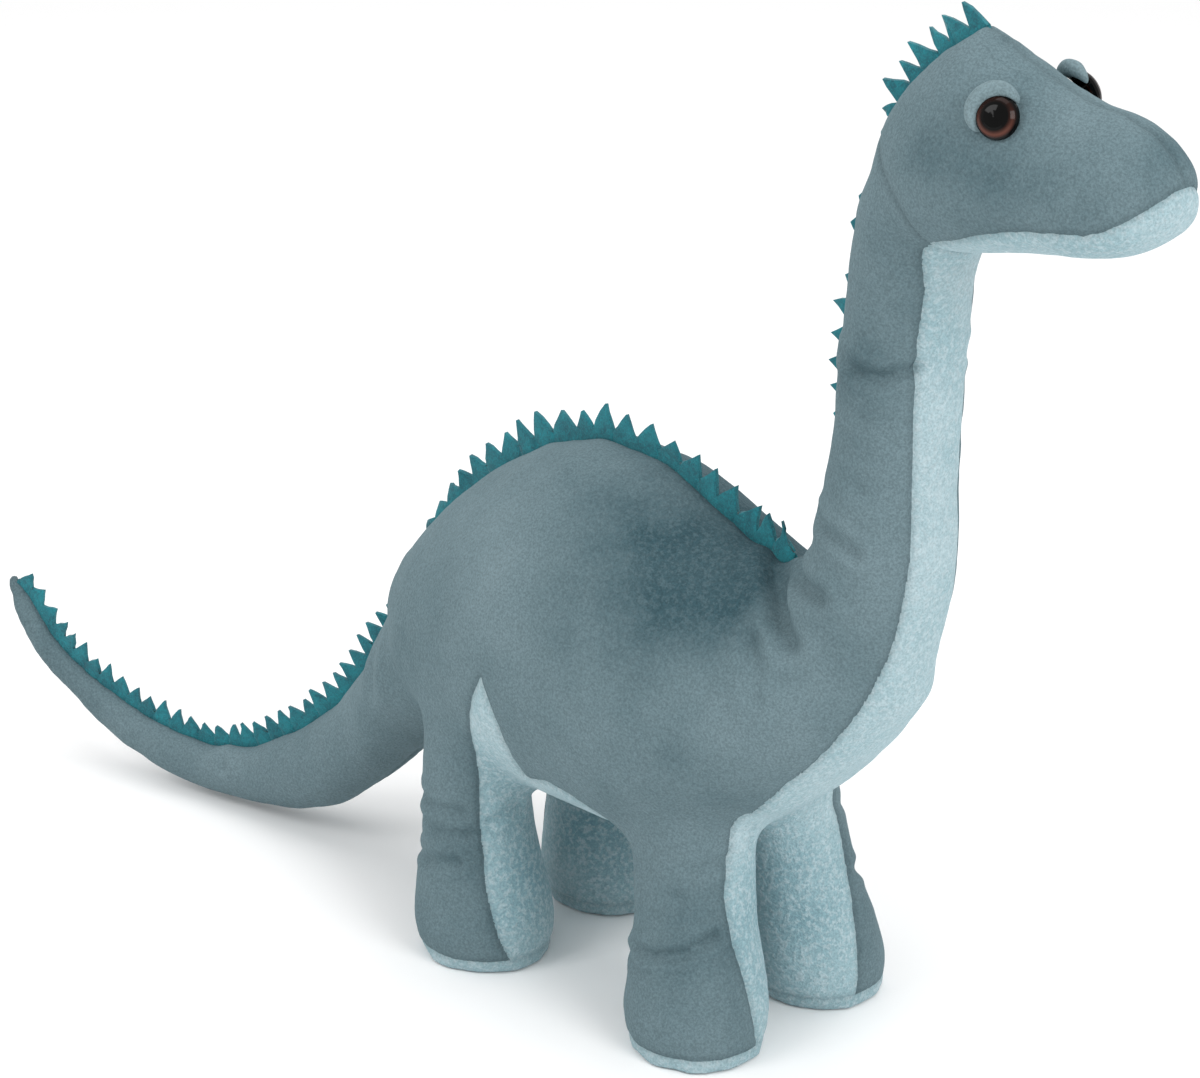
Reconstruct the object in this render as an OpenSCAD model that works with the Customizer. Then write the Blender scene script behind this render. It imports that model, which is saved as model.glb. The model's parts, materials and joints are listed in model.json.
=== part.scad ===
// Stuffed long-necked dinosaur: plush panels sewn over soft filling, a felt crest
// held in the back seam, fabric eyelids and plastic safety eyes.
// +X is forward and +Z is up. The flat soles stand on Z = 0.

/* [Torso] */
// Length of the torso from rump to chest
torso_len = 226; // [188:1:272]
// Height of the torso from belly to back
torso_h = 128; // [106:1:154]
// Width of the torso across the ribs
torso_w = 104; // [96:1:125]
// Height of the belly above the floor
belly_z = 58; // [52:1:70]

/* [Neck and head] */
// Length of the neck between its two bends
neck_len = 100; // [83:1:120]
// Radius of the neck at its slimmest
neck_r = 19; // [16:0.1:22.8]
// Length of the head from nape to snout
head_len = 110; // [92:1:132]
// Height of the head from jaw to crown
head_h = 63; // [53:1:76]
// Width of the head across the cheeks
head_w = 50; // [42:1:60]

/* [Tail] */
// Length of the tail behind the rump
tail_len = 198; // [165:1:238]
// Radius of the tail where it bends
tail_r = 21; // [17.5:0.5:25]
// How far the tail swings to the toy's right, in degrees
tail_swing = 11; // [0:1:20]

/* [Legs] */
// Distance between the front and hind leg centres
leg_spacing = 98; // [82:1:118]
// Distance from the middle to the centre of a foot
leg_y = 30; // [29:0.1:36]
// Radius of a leg at the ankle
leg_r = 19.5; // [16.3:0.1:23]
// Radius of a foot at its widest
foot_r = 24; // [20:0.1:25]
// Height of the seam round the sole
sole_seam_z = 4.5; // [3.8:0.1:6]

/* [Fabric] */
// Thickness of the plush with its pile
plush_t = 2; // [1.6:0.1:2.6]
// Thickness of the crest felt
felt_t = 1.5; // [1.2:0.1:2]
// Free gap between two sewn edges, and between plush and filling
sew_gap = 0.35; // [0.3:0.05:0.5]
// Free gap round each soft bend
bend_gap = 0.8; // [0.6:0.1:1.2]

// Width of the light panel on the throat and chest
panel_w = 24; // [20:1:28]

/* [Crest] */
// Height of a tooth on the back and the tail
back_tooth_h = 7; // [5.5:0.5:9]
// Height of the largest tooth on the crown
crown_tooth_h = 11; // [9:0.5:13.5]
// Distance from one tooth to the next
tooth_pitch = 9.5; // [8:0.5:11.5]
// Height of the strip that the teeth stand on
strip_h = 3.2; // [2.6:0.1:4]

/* [Eyes] */
// Diameter of a safety eye
eye_d = 13; // [11:0.5:15.5]
// Height of the eye's dome
dome_h = 4.5; // [4:0.5:6]
// Diameter of the eye's shank
shank_d = 4.5; // [3.7:0.1:5.5]
// Length of the shank behind the dome
shank_len = 9; // [7.5:0.5:10]
// Diameter of the washer that holds the eye
washer_d = 14; // [12:0.5:16]
// Thickness of the washer
washer_t = 1.6; // [1.2:0.1:2]
// How much smaller the washer's hole is than the shank
washer_grip = 0.1; // [0.05:0.01:0.2]

/* [Hidden] */
SEGMENTS = 24;      // points round a torso, neck, head or tail section
LEG_SEGMENTS = 18;  // points round a leg section
TINY = 0.7;         // smallest radius at the end of a loft
FAR = 500;          // larger than the whole toy
SIDES = [-1, 1];    // right and left
$fn = 32;

// Sections of the torso: share of its length, top and bottom as shares of its height,
// and half width as a share of its own
TORSO = [
  [0, 0.42, 0.42, 0], [0.05, 0.6, 0.22, 0.55], [0.14, 0.76, 0.08, 0.78],
  [0.28, 0.93, 0.01, 0.95], [0.42, 1, 0, 1], [0.53, 0.97, 0, 1],
  [0.64, 0.88, 0.03, 0.94], [0.75, 0.81, 0.13, 0.81], [0.86, 0.82, 0.3, 0.61],
  [0.94, 0.78, 0.46, 0.4], [1, 0.63, 0.63, 0]
];

// Sections of the head in the same form
HEAD = [
  [0, 0.5, 0.5, 0], [0.05, 0.64, 0.28, 0.5], [0.12, 0.8, 0.1, 0.74],
  [0.22, 0.97, 0.03, 0.9], [0.34, 1.075, 0.03, 0.98], [0.48, 0.955, 0.09, 1],
  [0.65, 0.845, 0.14, 0.9], [0.82, 0.82, 0.18, 0.78], [0.93, 0.72, 0.28, 0.54],
  [1, 0.5, 0.5, 0]
];

// Sections of the tail: distance behind the rump as a share of its length,
// top and bottom in millimetres, and half width as a share of the tail radius
TAIL = [
  [-0.19, 128, 62, 1.45], [-0.07, 120, 54, 1.36], [0, 109, 46, 1.25],
  [0.05, 95, 37, 1.13], [0.1, 81, 27, 1.02], [0.18, 57.5, 13.5, 0.88],
  [0.265, 42, 6, 0.74], [0.39, 26.5, 2, 0.55], [0.5, 20.5, 1.2, 0.46],
  [0.62, 22.5, 3.8, 0.4], [0.73, 28.5, 11, 0.36], [0.84, 39.5, 23.5, 0.31],
  [0.92, 50.5, 36.5, 0.26], [0.98, 60.5, 52, 0.17], [1, 61, 61, 0]
];

// Place of the lower bend along X from the neck's axis
NECK_BEND_BACK = -3.2;

// Sections of the neck below its lower bend: height from the bend, place along X from
// the neck's axis, and half depth and half width added to the neck's radius
NECK_BASE = [
  [-85, -27, 4, 4], [-66, -17.5, 7, 5], [-50, -12.5, 7.5, 5.5], [-25, -6.5, 5, 3.5],
  [0, NECK_BEND_BACK, 1.8, 1.2]
];

// Sections of the neck above it: height as a share of its length, then the same
NECK = [[0.3, -1.8, 0.2, 0.2], [0.62, 0.5, 0, 0], [0.92, 6, 0.8, 1], [1.08, 12, 0, 0]];

// Sections of a foot: height, then half length and half width as shares of the way
// from the ankle radius to the foot radius
FOOT = [
  [0, 0.6, 0.35], [2.2, 0.85, 0.65], [6, 1, 0.85], [13, 1.05, 0.9],
  [24, 0.8, 0.6], [36, 0.2, 0.1], [48, -0.2, -0.2]
];

// Directions round a leg, from its front toward its inner side, where the inner panel
// starts and ends
HIND_PANEL = [-38, 140];
FRONT_PANEL = [-4, 172];

// How far the axes of the hind and front legs move back and inward for each
// millimetre of height
HIND_LEAN = [0.07, 0];
FRONT_LEAN = [0.12, 0.13];

// How much the torso and the head narrow toward the top
TORSO_EGG = 0.2;
HEAD_EGG = 0.3;
HEAD_POWER = 0.85;  // how square the head's sections are: 1 is an ellipse, 0 a square

// Places that follow from the sizes above
NECK_IN = 13;       // from the chest back to the neck's axis
BEND_UP = 13;       // from the top of the back up to the neck's lower bend
HEAD_ON = 5;        // from the neck's axis forward to the upper bend
NAPE_BACK = 14;     // from the upper bend back to the nape
JAW_DOWN = 20;      // from the upper bend down to the jaw
HIND_SHARE = 0.267; // place of the hind legs along the torso
LEG_INTO = 50;      // how far the top of a leg runs up into the torso
LEG_BEND_DOWN = 13; // from the belly down to a leg's bend
tail_stub = tail_r * 1.2;
tail_reach = tail_stub + (tail_len - tail_stub) * cos(tail_swing);
total_len = tail_reach + torso_len + head_len - NAPE_BACK - NECK_IN + HEAD_ON;
rump_x = tail_reach - total_len / 2;
chest_x = rump_x + torso_len;
back_z = belly_z + torso_h;
neck_x = chest_x - NECK_IN;
neck_pivot = [neck_x + NECK_BEND_BACK, back_z + BEND_UP];
head_pivot = [neck_x + HEAD_ON, back_z + BEND_UP + neck_len];
nape_x = head_pivot[0] - NAPE_BACK;
snout_x = nape_x + head_len;
jaw_z = head_pivot[1] - JAW_DOWN;
hind_leg_x = rump_x + HIND_SHARE * torso_len;
front_leg_x = hind_leg_x + leg_spacing;
HIND = [hind_leg_x, HIND_LEAN];
FRONT = [front_leg_x, FRONT_LEAN];
leg_top_z = belly_z + LEG_INTO;
leg_pivot_z = belly_z - LEG_BEND_DOWN;
tail_pivot_x = rump_x - tail_stub;

// Radii of the balls in the bends, a little larger than the stuffed shape there
neck_ball = (neck_r + 1.8) * 1.13;
head_ball = (neck_r + 1) * 1.58;
tail_ball = tail_r * 1.13;
ankle_ball = leg_r * 1.15 + 1;
HEAD_CUT = -38; // turn of the cut between neck and head
washer_top = plush_t + 1.8; // depth of the washer's outer face, clear of the curved plush

// ---- Curves through the sections ----

function span(rows, x, i = 0) =
  (i >= len(rows) - 2 || x < rows[i + 1][0]) ? i : span(rows, x, i + 1);

function slope(rows, i, k) =
  let (a = max(i - 1, 0), b = min(i + 1, len(rows) - 1))
  (rows[b][k] - rows[a][k]) / (rows[b][0] - rows[a][0]);

// Smooth value of column k at x
function smooth(rows, x, k) =
  let (
    i = span(rows, x),
    step = rows[i + 1][0] - rows[i][0],
    t = min(max((x - rows[i][0]) / step, 0), 1),
    t2 = t * t,
    t3 = t2 * t
  )
  (2 * t3 - 3 * t2 + 1) * rows[i][k] + (t3 - 2 * t2 + t) * step * slope(rows, i, k)
  + (3 * t2 - 2 * t3) * rows[i + 1][k] + (t3 - t2) * step * slope(rows, i + 1, k);

// Rows of place, centre, half depth and half width; squares of the halves make round ends
function squared(rows) = [for (r = rows) [r[0], r[1], r[2] * r[2], r[3] * r[3]]];

function from_top_bottom(rows) =
  [for (r = rows) [r[0], (r[1] + r[2]) / 2, (r[1] - r[2]) / 2, r[3]]];

function half(rows, x, k) = sqrt(max(smooth(rows, x, k), 0));

// One section of a loft: its centre, half depth and half width, less the inset
function section(rows, x, inset) =
  [smooth(rows, x, 1), max(half(rows, x, 2) - inset, TINY), max(half(rows, x, 3) - inset, TINY)];

// Places along a loft, closer together near its ends
function places(a, b, n) = [for (i = [0:n]) a + (b - a) * (1 - cos(180 * i / n)) / 2];

function rounded(v, power) = sign(v) * pow(abs(v), power);

// Ring of points: its depth runs along Z on a loft along X, and along X on a loft along Z
function ring(x, s, upright, y, egg, power, n) = [
  for (j = [0:n - 1])
    let (
      f = 360 * j / n,
      deep = s[0] + s[1] * rounded(cos(f), power),
      wide = y + s[2] * rounded(sin(f), power) * (1 - egg * cos(f))
    )
    upright ? [deep, wide, x] : [x, wide, deep]
];

module loft(rows, inset, rings, n = SEGMENTS, upright = false, y = 0, lean = 0, egg = 0,
            power = 1) {
  first = rows[0][0] + inset;
  last = rows[len(rows) - 1][0] - inset;
  squares = squared(rows);
  points = [
    for (x = places(first, last, rings))
      each ring(x, section(squares, x, inset), upright, y + lean * x, egg, power, n)
  ];
  sides = [
    for (i = [0:rings - 1], j = [0:n - 1])
      let (a = i * n + j, b = i * n + (j + 1) % n)
      each upright ? [[a, a + n, b + n], [a, b + n, b]] : [[a, b, b + n], [a, b + n, a + n]]
  ];
  low = [for (j = [0:n - 1]) upright ? j : n - 1 - j];
  high = [for (j = [0:n - 1]) rings * n + (upright ? n - 1 - j : j)];
  polyhedron(points, concat(sides, [low, high]));
}

// ---- The stuffed shape ----

torso_rows = from_top_bottom([
  for (r = TORSO)
    [rump_x + r[0] * torso_len, belly_z + r[1] * torso_h, belly_z + r[2] * torso_h,
     r[3] * torso_w / 2]
]);

head_rows = from_top_bottom([
  for (r = HEAD)
    [nape_x + r[0] * head_len, jaw_z + r[1] * head_h, jaw_z + r[2] * head_h, r[3] * head_w / 2]
]);

tail_rows = from_top_bottom([
  for (i = [len(TAIL) - 1:-1:0])
    let (r = TAIL[i])
    [rump_x - r[0] * tail_len, r[1], r[2], r[3] * tail_r]
]);

neck_rows = concat(
  [for (r = NECK_BASE) [neck_pivot[1] + r[0], neck_x + r[1], neck_r + r[2], neck_r + r[3]]],
  [for (r = NECK) [neck_pivot[1] + r[0] * neck_len, neck_x + r[1], neck_r + r[2], neck_r + r[3]]]
);

function leg_rows(x, lean) = concat(
  [for (r = FOOT)
    [r[0], x - r[0] * lean[0], leg_r + r[1] * (foot_r - leg_r), leg_r + r[2] * (foot_r - leg_r)]],
  [[belly_z + 8, x - (belly_z + 8) * lean[0], leg_r - 0.5, leg_r - 1],
   [leg_top_z, x - leg_top_z * lean[0], leg_r - 2, leg_r - 8]]
);

module leg_loft(leg, side, inset)
  loft(leg_rows(leg[0], leg[1]), inset, 9, LEG_SEGMENTS, upright = true, y = side * leg_y,
       lean = -side * leg[1][1]);

module head_loft(inset) loft(head_rows, inset, 13, egg = HEAD_EGG, power = HEAD_POWER);

module tail_loft(inset) loft(tail_rows, inset, 18, n = 16);

module stuffed(inset) {
  loft(torso_rows, inset, 14, egg = TORSO_EGG);
  loft(neck_rows, inset, 10, n = 20, upright = true);
  head_loft(inset);
  tail_loft(inset);
  for (leg = [HIND, FRONT], side = SIDES)
    leg_loft(leg, side, inset);
}

module skin() difference() {
  stuffed(0);
  stuffed(plush_t);
}

module stuffing() stuffed(plush_t + sew_gap);

// ---- Regions that share the toy out between its moving bodies ----

// A flat shape drawn in X and Z, run across the whole width
module across(width = 2 * FAR) rotate([90, 0, 0]) linear_extrude(width, center = true) children();

// Beyond a bend: a half plane and the ball of the bend
module beyond(pivot, ball, angle) translate(pivot) rotate(angle) {
  circle(ball);
  translate([-FAR, 0]) square(2 * FAR);
}

module past_neck_bend(grow = 0) offset(delta = grow) beyond(neck_pivot, neck_ball, 0);

module past_head_bend(grow = 0) offset(delta = grow) beyond(head_pivot, head_ball, HEAD_CUT);

module past_tail_bend(grow = 0) linear_extrude(2 * FAR, center = true) offset(delta = grow)
  beyond([tail_pivot_x, 0], tail_ball, 90);

// Where the middle of a leg crosses its bend
function leg_pivot_x(leg) = leg[0] - leg[1][0] * leg_pivot_z;

module past_leg_bend(leg, side, grow = 0) {
  inner = leg_y - foot_r - 4 - grow;
  translate([0, side * (inner + FAR / 2), 0])
    across(FAR) offset(delta = grow) translate([leg_pivot_x(leg), leg_pivot_z]) {
      circle(ankle_ball);
      translate([-leg_spacing * 0.38, -FAR]) square([leg_spacing * 0.76, FAR]);
    }
}

module torso_zone() difference() {
  children();
  across() past_neck_bend(bend_gap);
  past_tail_bend(bend_gap);
  for (leg = [HIND, FRONT], side = SIDES)
    past_leg_bend(leg, side, bend_gap);
}

module neck_zone() difference() {
  intersection() {
    children();
    across() past_neck_bend();
  }
  across() past_head_bend(bend_gap);
}

module head_zone() intersection() {
  children();
  across() past_head_bend();
}

module tail_zone() intersection() {
  children();
  past_tail_bend();
  tail_loft(0);
}

// Turn the finished tail about its bend
module swung() translate([tail_pivot_x, 0, 0]) rotate(tail_swing)
  translate([-tail_pivot_x, 0, 0]) children();

module leg_zone(leg, side) intersection() {
  children();
  past_leg_bend(leg, side);
  leg_loft(leg, side, 0);
}

// ---- Regions that share the skin out between its panels ----

// One side of the toy, up to the middle seam
module side_zone(side) translate([-FAR, side > 0 ? sew_gap / 2 : -FAR - sew_gap / 2, -FAR])
  cube([2 * FAR, FAR, 2 * FAR]);

belly_half = panel_w * 1.1;

// The light panel seen from above: narrow on the throat and chest, wider at the belly
module belly_plan() polygon([
  [snout_x, panel_w / 2], [chest_x - 50, panel_w / 2], [front_leg_x, belly_half],
  [hind_leg_x, belly_half], [rump_x + 12, panel_w * 0.3],
  [rump_x + 12, -panel_w * 0.3], [hind_leg_x, -belly_half], [front_leg_x, -belly_half],
  [chest_x - 50, -panel_w / 2], [snout_x, -panel_w / 2]
]);

// The front and the underside of the toy seen from the side
module front_and_under() polygon([
  [rump_x, -FAR], [rump_x, belly_z + 22], [front_leg_x, belly_z + 30],
  [neck_x - 18, back_z - 45], [neck_x - 4, back_z], [neck_pivot[0], neck_pivot[1]],
  head_pivot, head_pivot + [FAR, 0], [FAR, -FAR]
]);

module light_zone(grow = 0) intersection() {
  linear_extrude(2 * FAR, center = true) offset(delta = grow) belly_plan();
  across() offset(delta = grow) front_and_under();
}

// The chin seam seen from the side
module chin_side() polygon([
  [nape_x, jaw_z - FAR], [nape_x, jaw_z + 3], [nape_x + 0.32 * head_len, jaw_z + 7],
  [nape_x + 0.42 * head_len, jaw_z + 10.5], [nape_x + 0.52 * head_len, jaw_z + 12],
  [nape_x + 0.65 * head_len, jaw_z + 12.5], [nape_x + 0.78 * head_len, jaw_z + 17],
  [nape_x + 0.89 * head_len, jaw_z + 25], [nape_x + 0.97 * head_len, jaw_z + 34],
  [snout_x + 10, jaw_z + 40], [snout_x + 10, jaw_z - FAR]
]);

module chin_zone(grow = 0) across() offset(delta = grow) chin_side();

// The wedge at the top of a hind leg's inner panel, seen from the side
module wedge_side() {
  x = leg_pivot_x(HIND);
  polygon([
    [x + 10, belly_z - 20], [x + 16, belly_z + 18], [x + 24, belly_z + 51],
    [x + 36, belly_z + 18], [x + 42, belly_z + 6], [x + 42, belly_z - 20]
  ]);
}

module wedge_zone(side, grow = 0) {
  inner = belly_half - grow;
  translate([0, side * (inner + FAR / 2 + (grow > 0 ? 0 : sew_gap)), 0])
    across(FAR) offset(delta = grow) wedge_side();
}

// Round a leg's axis, from its front round the inner side to its back
module inner_zone(leg, side, grow = 0) {
  turns = leg == HIND ? HIND_PANEL : FRONT_PANEL;
  middle = sole_seam_z + leg_pivot_z / 2;
  translate([leg[0] - leg[1][0] * middle, side * (leg_y - leg[1][1] * middle), 0])
    linear_extrude(2 * FAR, center = true) offset(delta = grow)
      polygon(concat([[0, 0]], [
        for (i = [0:4])
          let (a = turns[0] + (turns[1] - turns[0]) * i / 4)
          FAR * [cos(a), -side * sin(a)]
      ]));
}

module below_sole_seam(z) translate([-FAR, -FAR, -1]) cube([2 * FAR, 2 * FAR, z + 1]);

// ---- Crest ----

// Places in X and Z along the back seam, on the outside of the plush
function torso_top(x) = [x, smooth(torso_rows, x, 1) + half(squared(torso_rows), x, 2)];
function head_top(x) = [x, smooth(head_rows, x, 1) + half(squared(head_rows), x, 2)];
function tail_top(x) = [x, smooth(tail_rows, x, 1) + half(squared(tail_rows), x, 2)];
function neck_back(z) = [smooth(neck_rows, z, 1) - half(squared(neck_rows), z, 2), z];

function path_len(path, i = 0) =
  i >= len(path) - 1 ? 0 : norm(path[i + 1] - path[i]) + path_len(path, i + 1);

// The place at a distance along a path
function along(path, s, i = 0) =
  let (d = norm(path[i + 1] - path[i]))
  (s <= d || i >= len(path) - 2) ? path[i] + (path[i + 1] - path[i]) * s / d
                                 : along(path, s - d, i + 1);

// Outward side of a path that runs from tail to head
function outward(path, s) =
  let (d = along(path, s + 1) - along(path, s - 1))
  [-d[1], d[0]] / norm(d);

function raised(path, s, h) = along(path, s) + outward(path, s) * h;

TOOTH_FOOT = 0.96;  // share of the pitch that a tooth's foot takes
SEWN_IN = 0.3;      // share of the plush's thickness that the strip is sewn in

// Teeth vary a little in height, as cut felt does
function vary(i) = 1 - 0.16 * sin(i * 137) - 0.1 * sin(i * 71);

module teeth(path, first_h, last_h, lean) {
  total = path_len(path) - 2;
  count = round(total / tooth_pitch);
  pitch = total / count;
  top = [
    for (i = [0:count - 1])
      let (s = 1 + i * pitch, h = vary(i) * (first_h + (last_h - first_h) * i / count))
      each [
        raised(path, s, strip_h),
        raised(path, s + pitch * (0.5 + lean), strip_h + h),
        raised(path, s + pitch * TOOTH_FOOT, strip_h)
      ]
  ];
  foot = [for (i = [count:-1:0]) raised(path, 1 + i * pitch, -plush_t * SEWN_IN)];
  polygon(concat(top, foot));
}

function steps(f, a, b, n) = [for (i = [0:n]) f(a + (b - a) * i / n)];

back_path = steps(function(x) torso_top(x), rump_x + 16, neck_x - neck_r - 20, 16);
neck_path = steps(function(z) neck_back(z), neck_pivot[1] + 12, head_pivot[1] - head_ball, 10);
crown_path = concat(
  steps(function(z) neck_back(z), head_pivot[1] - head_ball * 0.3, head_pivot[1] + 2, 2),
  [[nape_x, jaw_z + HEAD[0][1] * head_h]],
  steps(function(x) head_top(x), nape_x + 1, nape_x + 0.32 * head_len, 12)
);
tail_path = steps(function(x) tail_top(x), rump_x - tail_len + 5, rump_x - 8, 24);

module crest_shape(name) {
  if (name == "back") teeth(back_path, back_tooth_h * 0.8, back_tooth_h, 0.1);
  if (name == "neck") teeth(neck_path, back_tooth_h * 0.7, back_tooth_h * 0.8, 0);
  if (name == "crown") teeth(crown_path, crown_tooth_h * 0.4, crown_tooth_h, -0.25);
  if (name == "tail") teeth(tail_path, back_tooth_h * 0.55, back_tooth_h, -0.1);
}

module crest(name) across(felt_t) crest_shape(name);

// The slot that the crest leaves between the two sides
module crest_slot() {
  for (name = ["back", "neck", "crown", "tail"])
    across(felt_t + 2 * sew_gap) offset(delta = sew_gap) crest_shape(name);
}

// ---- Eyes ----

EYE_AT = 57;        // direction of the eye round the head, from the top
EYE_UP = 70;        // tilt of the eye away from straight up
EYE_FORWARD = 18;   // turn of the eye toward the front
EYE_ALONG = 0.505;  // place of the eye along the head
LID_TURN = 25;      // turn of the eyelid toward the back of the head
EYE_LIFT = 3.5;     // gaps that keep the dome clear of the curved plush
eye_x = nape_x + EYE_ALONG * head_len;
EYE_RING = ring(eye_x, section(squared(head_rows), eye_x, 0), false, 0, HEAD_EGG, HEAD_POWER, 360);
eye_place = EYE_RING[360 - EYE_AT];

// Put the children in the right or left eye socket, with +Z looking outward
module at_eye(side) mirror([0, side > 0 ? 1 : 0, 0])
  translate(eye_place) rotate([0, 0, EYE_FORWARD]) rotate([EYE_UP, 0, 0])
    translate([0, 0, EYE_LIFT * sew_gap]) children();

module eye(side) color("#2b1a16") at_eye(side) rotate_extrude() polygon(concat(
  [[0, -shank_len], [shank_d / 2 - 0.6, -shank_len], [shank_d / 2, -shank_len + 0.6],
   [shank_d / 2, 0], [eye_d / 2 - 0.6, 0], [eye_d / 2, 0.8]],
  [for (a = [15:15:90]) [eye_d / 2 * cos(a), 0.8 + (dome_h - 0.8) * sin(a)]]
));

module eye_washer(side) color("#d8d8d4") at_eye(side)
  translate([0, 0, -washer_top - washer_t]) difference() {
    cylinder(washer_t, d = washer_d);
    translate([0, 0, -1]) cylinder(washer_t + 2, d = shank_d - washer_grip);
  }

// Room for the shank and the washer inside the head
module eye_room(side) at_eye(side) {
  translate([0, 0, -shank_len - sew_gap])
    cylinder(shank_len + 20, d = shank_d + 2 * sew_gap);
  translate([0, 0, -shank_len - sew_gap])
    cylinder(shank_len - washer_top + 2 * sew_gap, d = washer_d + 2 * sew_gap);
}

module eyelid(side) color("#6f8188") resize([0, 0, 0]) difference() {
  at_eye(side) difference() {
    translate([0, 0, -4]) cylinder(4 + dome_h * 0.35, d1 = eye_d + 7, d2 = eye_d + 4);
    translate([0, 0, -5]) cylinder(FAR, d = eye_d + 2 * sew_gap);
    rotate(LID_TURN) translate([-FAR, -FAR, -10]) cube([2 * FAR, FAR - 1, 30]);
  }
  head_loft(-sew_gap);
}

// ---- Sewn pieces: each is one soft solid ----

module soft(colour) color(colour) resize([0, 0, 0]) children();

module plush_side(side) difference() {
  intersection() {
    skin();
    side_zone(side);
  }
  crest_slot();
}

module torso_filling() soft("white") torso_zone() stuffing();

module torso_skin(side) soft(BLUE_GREY) difference() {
  torso_zone() plush_side(side);
  light_zone(sew_gap);
  wedge_zone(side, sew_gap);
}

module belly_panel() soft(PALE) torso_zone() intersection() {
  skin();
  light_zone();
}

module flank_gusset(side) soft(PALE) torso_zone() intersection() {
  skin();
  wedge_zone(side);
}

module back_crest() color(TEAL) crest("back");

module neck_filling() soft("white") neck_zone() stuffing();

module neck_skin(side) soft(BLUE_GREY) difference() {
  neck_zone() plush_side(side);
  light_zone(sew_gap);
}

module throat_panel() soft(PALE) neck_zone() intersection() {
  skin();
  light_zone();
}

module neck_crest() color(TEAL) crest("neck");

module head_filling() soft("white") difference() {
  head_zone() stuffing();
  for (side = SIDES)
    eye_room(side);
}

module head_skin(side) soft(BLUE_GREY) difference() {
  head_zone() plush_side(side);
  chin_zone(sew_gap);
  eye_room(side);
}

module chin_panel() soft(PALE) head_zone() intersection() {
  skin();
  chin_zone();
}

module crown_crest() color(TEAL) crest("crown");

module tail_filling() soft("white") swung() tail_zone() stuffing();

module tail_skin(side) soft(BLUE_GREY) swung() tail_zone() plush_side(side);

module tail_crest() color(TEAL) swung() crest("tail");

module leg_filling(leg, side) soft("white") leg_zone(leg, side) stuffing();

module leg_outer(leg, side) soft(BLUE_GREY) difference() {
  leg_zone(leg, side) skin();
  inner_zone(leg, side, sew_gap);
  below_sole_seam(sole_seam_z);
}

module leg_inner(leg, side) soft(PALE) difference() {
  leg_zone(leg, side) intersection() {
    skin();
    inner_zone(leg, side);
  }
  below_sole_seam(sole_seam_z);
}

module leg_sole(leg, side) soft(PALE) intersection() {
  leg_zone(leg, side) skin();
  below_sole_seam(sole_seam_z - sew_gap);
}

BLUE_GREY = "#63787f";
PALE = "#acbfc6";
TEAL = "#1f767f";

torso_filling();
torso_skin(1);  // torso_skin_left
torso_skin(-1);  // torso_skin_right
belly_panel();
flank_gusset(1);  // flank_gusset_left
flank_gusset(-1);  // flank_gusset_right
back_crest();
neck_filling();
neck_skin(1);  // neck_skin_left
neck_skin(-1);  // neck_skin_right
throat_panel();
neck_crest();
head_filling();
head_skin(1);  // head_skin_left
head_skin(-1);  // head_skin_right
chin_panel();
crown_crest();
eye(1);  // eye_left
eye(-1);  // eye_right
eye_washer(1);  // eye_washer_left
eye_washer(-1);  // eye_washer_right
eyelid(1);  // eyelid_left
eyelid(-1);  // eyelid_right
tail_filling();
tail_skin(1);  // tail_skin_left
tail_skin(-1);  // tail_skin_right
tail_crest();
leg_filling(FRONT, 1);  // front_left_filling
leg_outer(FRONT, 1);  // front_left_outer
leg_inner(FRONT, 1);  // front_left_inner
leg_sole(FRONT, 1);  // front_left_sole
leg_filling(FRONT, -1);  // front_right_filling
leg_outer(FRONT, -1);  // front_right_outer
leg_inner(FRONT, -1);  // front_right_inner
leg_sole(FRONT, -1);  // front_right_sole
leg_filling(HIND, 1);  // hind_left_filling
leg_outer(HIND, 1);  // hind_left_outer
leg_inner(HIND, 1);  // hind_left_inner
leg_sole(HIND, 1);  // hind_left_sole
leg_filling(HIND, -1);  // hind_right_filling
leg_outer(HIND, -1);  // hind_right_outer
leg_inner(HIND, -1);  // hind_right_inner
leg_sole(HIND, -1);  // hind_right_sole
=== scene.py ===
import json
import math

import bmesh
import bpy
import numpy as np
from mathutils import Matrix, Vector, kdtree, noise


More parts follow.
